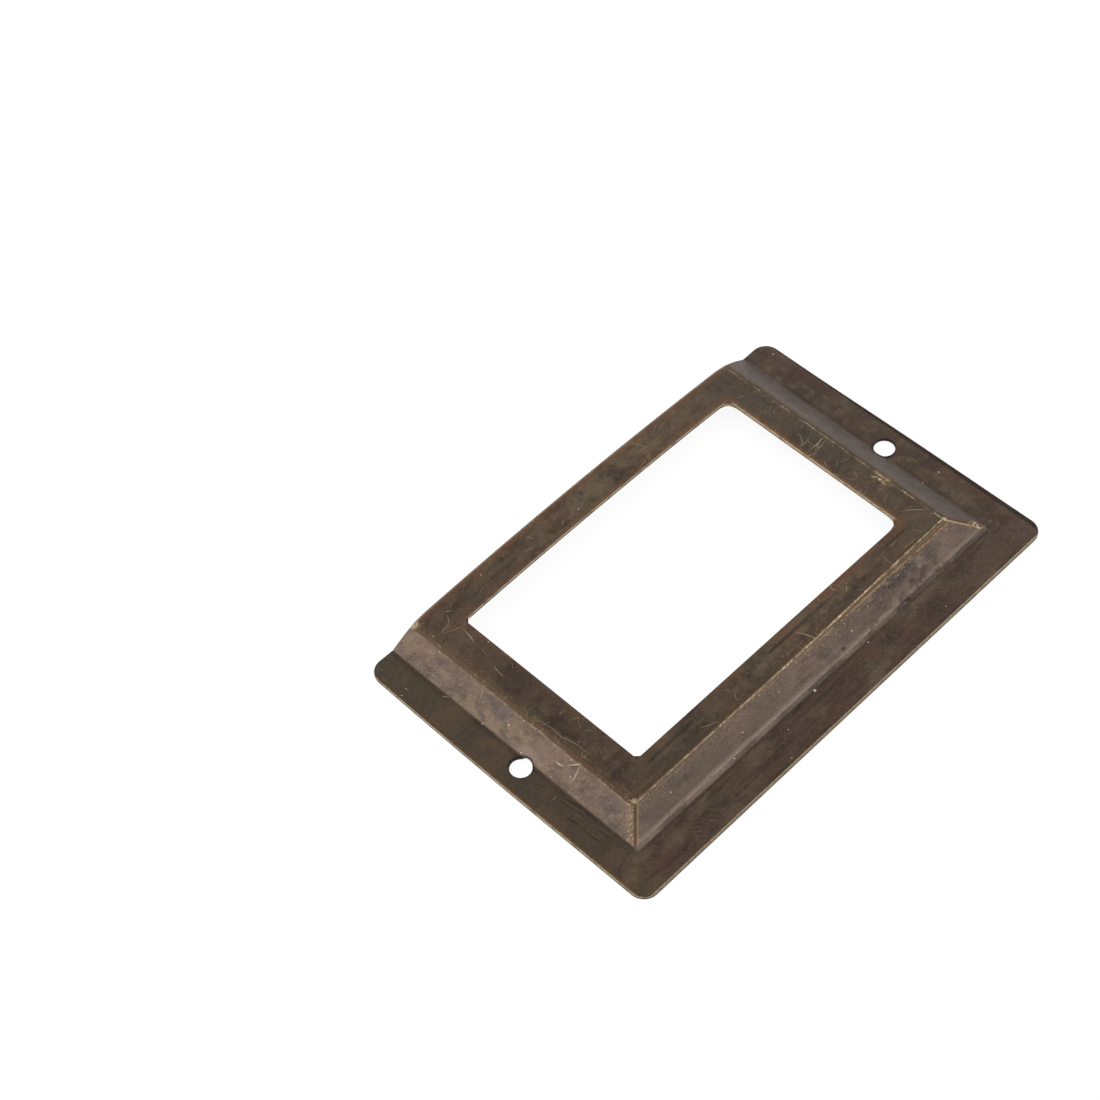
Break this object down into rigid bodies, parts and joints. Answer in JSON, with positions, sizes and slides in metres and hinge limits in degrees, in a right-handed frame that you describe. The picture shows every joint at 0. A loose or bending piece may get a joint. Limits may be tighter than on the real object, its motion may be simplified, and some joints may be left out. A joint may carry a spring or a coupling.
{
  "type": "drawer label holder",
  "caption": "Stamped sheet-metal label holder: a raised sloping frame on a flat flange, with a wide window, an open edge for the card and a screw hole at each end.",
  "frame": {"origin": "middle of the flange's outline, on the back face that lies against the drawer front", "axes": "+X along the long side, +Y towards the open edge where the card slides in, +Z out of the drawer front"},
  "size_m": [0.08, 0.0506, 0.0042],
  "materials": {
    "aged_brass": "dark antiqued, satin, worn bright on the bends"
  },
  "bodies": {
    "root": {"label_frame": "aged_brass"}
  },
  "joints": []
}
